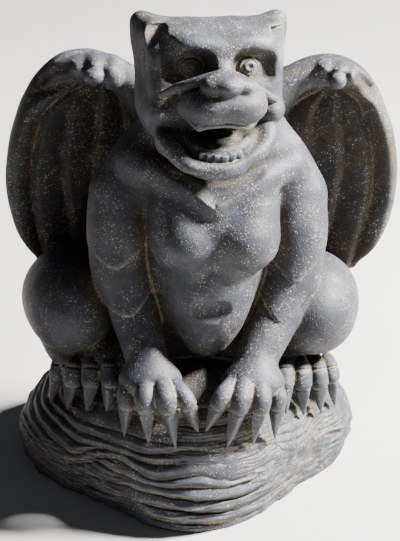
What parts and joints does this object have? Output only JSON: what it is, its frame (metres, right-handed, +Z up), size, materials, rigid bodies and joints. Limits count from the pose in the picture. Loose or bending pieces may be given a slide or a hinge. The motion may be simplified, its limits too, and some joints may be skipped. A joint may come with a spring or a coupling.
{
  "type": "stone gargoyle",
  "caption": "Winged stone gargoyle crouching on a layered rock, hands and clawed feet gripping it, with wings folded behind and an open snarling mouth.",
  "frame": {"origin": "on the underside of the rock, which stands on the XY plane, below the middle of the figure", "axes": "+Z up, -Y the way the gargoyle faces, +X to its left"},
  "size_m": [0.4887, 0.3595, 0.6056],
  "materials": {
    "stone": "matte volcanic stone, worn smooth on the high places, dusty in the creases"
  },
  "bodies": {
    "root": {"gargoyle": "stone"}
  },
  "joints": []
}
